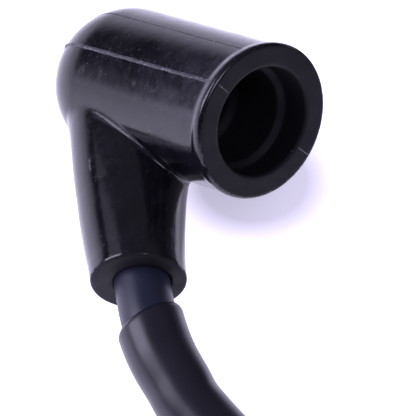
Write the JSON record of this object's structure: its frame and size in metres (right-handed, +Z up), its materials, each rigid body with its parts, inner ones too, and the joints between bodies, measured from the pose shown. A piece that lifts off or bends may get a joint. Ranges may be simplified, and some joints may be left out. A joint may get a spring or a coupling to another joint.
{
  "type": "small-engine ignition coil",
  "caption": "Potted flywheel-magneto ignition coil on a laminated core, with a sleeved high-tension lead and an angled rubber plug boot.",
  "frame": {"origin": "under the middle of the coil module, on the surface that the module's housing lies on", "axes": "+Z up out of the housing's potted side; +X from the core's yoke to its pole tips, which face the flywheel; +Y from the wound leg to the bare leg, so the lead leaves the module towards -Y"},
  "size_m": [0.1084, 0.1361, 0.0304],
  "materials": {
    "core_steel": "sheared edges, lightly varnished",
    "plated_steel": "zinc plated",
    "tinned_brass": "tin plated",
    "brass": "plain",
    "copper_wire": "enamelled",
    "housing_plastic": "glass-filled nylon",
    "potting_resin": "cast epoxy",
    "bobbin_plastic": "moulded",
    "circuit_board": "laminate",
    "component_body": "moulded",
    "capacitor_body": "dipped",
    "lead_jacket": "satin",
    "sleeve_pvc": "satin",
    "grommet_rubber": "satin",
    "boot_rubber": "glossy, moulded"
  },
  "bodies": {
    "module": {"core_plate_01": "core_steel", "core_plate_02": "core_steel", "core_plate_03": "core_steel", "core_plate_04": "core_steel", "core_plate_05": "core_steel", "core_plate_06": "core_steel", "core_plate_07": "core_steel", "core_plate_08": "core_steel", "core_plate_09": "core_steel", "core_plate_10": "core_steel", "core_rivet_1": "plated_steel", "core_rivet_2": "plated_steel", "core_rivet_3": "plated_steel", "coil_housing": "housing_plastic", "potting_resin": "potting_resin", "primary_bobbin": "bobbin_plastic", "primary_winding": "copper_wire", "secondary_bobbin": "bobbin_plastic", "secondary_winding": "copper_wire", "circuit_board": "circuit_board", "charge_capacitor": "capacitor_body", "trigger_thyristor": "component_body", "charge_diode": "component_body", "trigger_resistor": "component_body", "stop_terminal": "tinned_brass", "earth_strap": "tinned_brass", "lead_spike": "brass", "lead_insulation": "lead_jacket", "lead_conductor": "tinned_brass", "lead_sleeve": "sleeve_pvc", "lead_grommet": "grommet_rubber"},
    "boot": {"plug_boot": "boot_rubber", "contact_spring": "plated_steel"}
  },
  "joints": [
    {"name": "boot_swivel", "type": "hinge", "parent": "module", "child": "boot", "pos_m": [-0.07202, -0.0632, 0.00816], "axis": [0.0278, -0.9968, -0.075], "range_deg": [-35, 35]}
  ]
}
